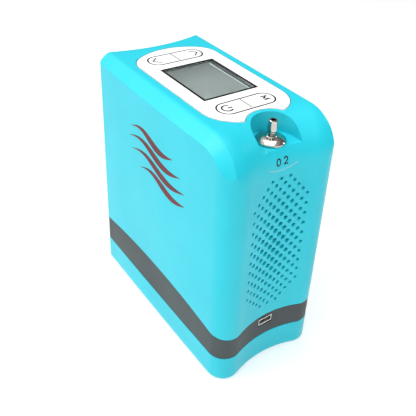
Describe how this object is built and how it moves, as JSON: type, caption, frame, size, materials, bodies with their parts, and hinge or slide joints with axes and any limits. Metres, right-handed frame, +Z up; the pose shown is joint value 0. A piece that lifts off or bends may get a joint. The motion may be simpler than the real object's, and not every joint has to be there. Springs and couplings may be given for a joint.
{
  "type": "oxygen concentrator",
  "caption": "Slim upright portable oxygen concentrator: bevelled turquoise case, grey band, display panel with keys, barbed outlet in a recess, graded grille.",
  "frame": {"origin": "under the middle of the case, on the surface that its feet stand on", "axes": "+Z up, -Y the hollowed end with the grille and the outlet, +Y the filter end, X across the narrow width"},
  "size_m": [0.0976, 0.1783, 0.205],
  "materials": {
    "turquoise_shell": "satin moulded plastic",
    "grey_band": "matte moulded plastic",
    "white_panel": "glossy moulded plastic",
    "white_key": "glossy moulded plastic with printed symbols",
    "black_bezel": "glossy black plastic",
    "lens": "clear flat window",
    "lcd": "unlit grey liquid crystal",
    "chrome": "polished plated metal",
    "steel": "turned or rolled steel",
    "aluminium": "machined or cast aluminium",
    "brass": "turned brass",
    "rubber": "moulded black rubber",
    "silicone": "translucent silicone hose",
    "foam": "open-cell filter foam",
    "black_plastic": "matte black plastic",
    "white_plastic": "matte white plastic",
    "board": "green circuit board",
    "cell": "shrink-wrapped cells",
    "bed": "packed zeolite beads",
    "copper": "enamelled copper on laminated steel"
  },
  "bodies": {
    "case": {"upper_housing": "turquoise_shell", "base_tray": "turquoise_shell", "mid_band": "grey_band", "rubber_feet": "rubber", "case_screws": "steel", "control_panel": "white_panel", "display_bezel": "black_bezel", "display_lens": "lens", "lcd_module": "lcd", "display_board": "board", "tact_switches": "black_plastic", "buzzer": "black_plastic", "outlet_seal": "rubber", "outlet_flange": "chrome", "outlet_nipple": "chrome", "outlet_nut": "brass", "usb_shell": "steel", "usb_tongue": "white_plastic", "usb_board": "board", "dc_jack": "black_plastic", "battery_case": "black_plastic", "battery_cells": "cell", "battery_board": "board", "chassis_plate": "black_plastic", "rubber_isolators": "rubber", "crankcase": "aluminium", "cylinders": "aluminium", "cylinder_heads": "aluminium", "head_screws": "steel", "shaft_bearings": "steel", "motor_housing": "aluminium", "motor_stator": "copper", "sieve_columns": "aluminium", "sieve_beds": "bed", "column_caps": "aluminium", "valve_block": "white_plastic", "solenoid_valves": "black_plastic", "product_tank": "white_plastic", "tank_cradle": "black_plastic", "bacterial_filter": "white_plastic", "outlet_hose": "silicone", "feed_hose": "silicone", "intake_muffler": "black_plastic", "intake_hose": "silicone", "fan_frame": "black_plastic", "control_board": "board"},
    "down_key": {"key_down": "white_key"},
    "up_key": {"key_up": "white_key"},
    "power_key": {"key_power": "white_key"},
    "mode_key": {"key_mode": "white_key"},
    "filter_cover": {"rear_filter_cover": "turquoise_shell", "foam_filter": "foam"},
    "fan": {"fan_rotor": "black_plastic"},
    "crank": {"crankshaft": "steel", "crank_roller": "steel", "motor_rotor": "steel"},
    "piston_set": {"piston_yoke": "steel", "pistons": "aluminium", "piston_rings": "black_plastic"}
  },
  "joints": [
    {"name": "down_key_press", "type": "slide", "parent": "case", "child": "down_key", "axis": [0, 0, -1], "range_m": [0, 0.0006], "stiffness_N_per_m": 400, "springref_m": -0.0006},
    {"name": "up_key_press", "type": "slide", "parent": "case", "child": "up_key", "axis": [0, 0, -1], "range_m": [0, 0.0006], "stiffness_N_per_m": 400, "springref_m": -0.0006},
    {"name": "power_key_press", "type": "slide", "parent": "case", "child": "power_key", "axis": [0, 0, -1], "range_m": [0, 0.0006], "stiffness_N_per_m": 400, "springref_m": -0.0006},
    {"name": "mode_key_press", "type": "slide", "parent": "case", "child": "mode_key", "axis": [0, 0, -1], "range_m": [0, 0.0006], "stiffness_N_per_m": 400, "springref_m": -0.0006},
    {"name": "filter_cover_pull", "type": "slide", "parent": "case", "child": "filter_cover", "axis": [0, 1, 0], "range_m": [0, 0.02]},
    {"name": "fan_spin", "type": "hinge", "parent": "case", "child": "fan", "pos_m": [0, -0.063, 0.1132], "axis": [0, 1, 0], "continuous": true},
    {"name": "crank_spin", "type": "hinge", "parent": "case", "child": "crank", "pos_m": [0, 0, 0.08], "axis": [0, 0, 1], "continuous": true},
    {"name": "piston_stroke", "type": "slide", "parent": "case", "child": "piston_set", "axis": [0, 1, 0], "range_m": [-0.002, 0.002]}
  ]
}
